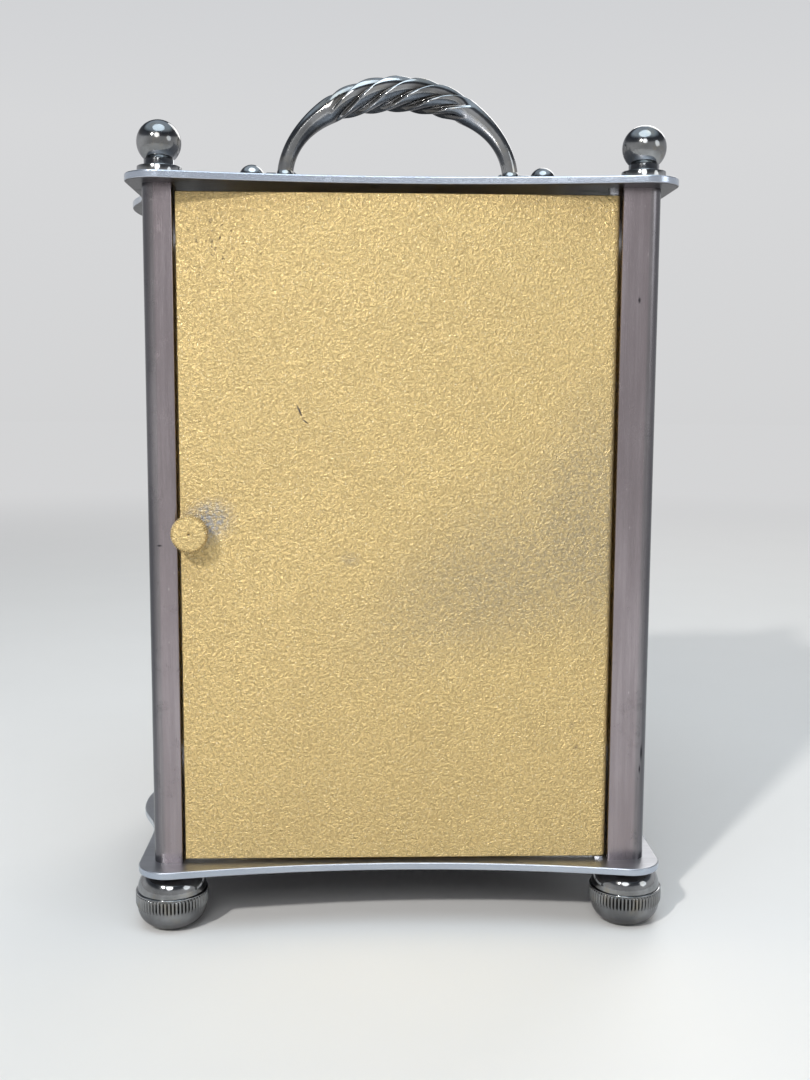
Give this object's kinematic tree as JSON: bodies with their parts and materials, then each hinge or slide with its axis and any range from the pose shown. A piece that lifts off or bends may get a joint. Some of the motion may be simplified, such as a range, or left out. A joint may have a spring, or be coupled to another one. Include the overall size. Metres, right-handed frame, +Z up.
{
  "type": "bracket clock",
  "caption": "Metal cased bracket clock with corner pillars, ball finials, knurled feet, a rope twisted carrying handle, a hinged back door, bevelled glass and a spring driven movement.",
  "frame": {"origin": "middle of the clock between its four feet, on the surface that the feet stand on", "axes": "+Z up, -Y towards the dial, +Y towards the back door, +X to the right as seen from the front"},
  "size_m": [0.1524, 0.1186, 0.2332],
  "materials": {
    "plated": "pale plating over brass, polished, tarnished grey",
    "satin": "pale plating over brass, satin, grained along its length",
    "lacquer": "gold crinkle lacquer, matte",
    "brass": "polished brass",
    "dial_brass": "grained brass",
    "steel": "bright steel",
    "blued": "blued steel",
    "glass": "clear, bevelled edges",
    "dial": "satin cream enamel"
  },
  "bodies": {
    "root": {"base_plate": "satin", "top_plate": "satin", "pillar_front_left": "satin", "pillar_front_right": "satin", "pillar_back_left": "satin", "pillar_back_right": "satin", "foot_front_left": "plated", "foot_front_right": "plated", "foot_back_left": "plated", "foot_back_right": "plated", "finial_front_left": "plated", "finial_front_right": "plated", "finial_back_left": "plated", "finial_back_right": "plated", "tie_rod_front_left": "steel", "tie_rod_front_right": "steel", "tie_rod_back_left": "steel", "tie_rod_back_right": "steel", "handle_post_left": "plated", "handle_post_right": "plated", "handle_screw_left": "plated", "handle_screw_right": "plated", "hinge_pin_bottom": "steel", "hinge_pin_top": "steel", "glass_front": "glass", "glass_right": "glass", "glass_left": "glass", "dial_plate": "dial_brass", "dial_disc": "dial", "movement_front_plate": "brass", "movement_back_plate": "brass", "mounting_bar_left": "brass", "mounting_bar_right": "brass", "base_screw_left": "steel", "base_screw_right": "steel", "click_screw": "steel", "escapement_platform": "brass", "escapement_case": "brass", "balance_cock": "steel"},
    "door": {"back_door": "lacquer"},
    "door_knob": {"door_knob": "lacquer", "door_latch": "brass"},
    "handle": {"handle": "plated"},
    "minute": {"minute_hand": "blued", "centre_wheel": "brass", "setting_knob": "brass", "cannon_pinion": "steel"},
    "hour": {"hour_hand": "blued", "hour_wheel": "brass"},
    "minute_wheel": {"minute_wheel": "brass"},
    "third": {"third_wheel": "brass"},
    "barrel": {"mainspring_barrel": "brass"},
    "winding": {"barrel_arbor": "steel", "ratchet_wheel": "steel", "winding_key": "brass"},
    "click": {"click": "steel"},
    "balance": {"balance_wheel": "brass"}
  },
  "joints": [
    {"name": "door_swing", "type": "hinge", "parent": "root", "child": "door", "pos_m": [-0.0534, 0.0502, 0.105], "axis": [0, 0, 1], "range_deg": [0, 95]},
    {"name": "knob_turn", "type": "hinge", "parent": "door", "child": "door_knob", "pos_m": [0.0542, 0.0484, 0.1064], "axis": [0, -1, 0], "range_deg": [0, 90]},
    {"name": "handle_fold", "type": "hinge", "parent": "root", "child": "handle", "pos_m": [0, 0, 0.204], "axis": [1, 0, 0], "range_deg": [-96, 96]},
    {"name": "minute_turn", "type": "hinge", "parent": "root", "child": "minute", "pos_m": [0, -0.048, 0.112], "axis": [0, 1, 0], "continuous": true},
    {"name": "hour_turn", "type": "hinge", "parent": "root", "child": "hour", "pos_m": [0, -0.046, 0.112], "axis": [0, 1, 0], "continuous": true},
    {"name": "minute_wheel_turn", "type": "hinge", "parent": "root", "child": "minute_wheel", "pos_m": [0.00964, -0.038, 0.112], "axis": [0, 1, 0], "continuous": true},
    {"name": "third_turn", "type": "hinge", "parent": "root", "child": "third", "pos_m": [-0.01187, -0.02, 0.12387], "axis": [0, 1, 0], "continuous": true},
    {"name": "barrel_turn", "type": "hinge", "parent": "root", "child": "barrel", "pos_m": [0, -0.024, 0.08731], "axis": [0, 1, 0], "continuous": true},
    {"name": "winding_turn", "type": "hinge", "parent": "root", "child": "winding", "pos_m": [0, -0.006, 0.08731], "axis": [0, 1, 0], "continuous": true},
    {"name": "click_lift", "type": "hinge", "parent": "root", "child": "click", "pos_m": [0, -0.005, 0.10131], "axis": [0, 1, 0], "range_deg": [0, 15], "stiffness_Nm_per_rad": 0.001, "springref_deg": -11.46},
    {"name": "balance_swing", "type": "hinge", "parent": "root", "child": "balance", "pos_m": [0, -0.021, 0.157], "axis": [0, 0, 1], "range_deg": [-270, 270], "stiffness_Nm_per_rad": 0.00004}
  ],
  "couplings": [
    {"joint": "hour_turn", "follows": "minute_turn", "ratio": 0.083333},
    {"joint": "minute_wheel_turn", "follows": "minute_turn", "ratio": -0.33333},
    {"joint": "third_turn", "follows": "minute_turn", "ratio": -6},
    {"joint": "barrel_turn", "follows": "minute_turn", "ratio": -0.16667}
  ]
}
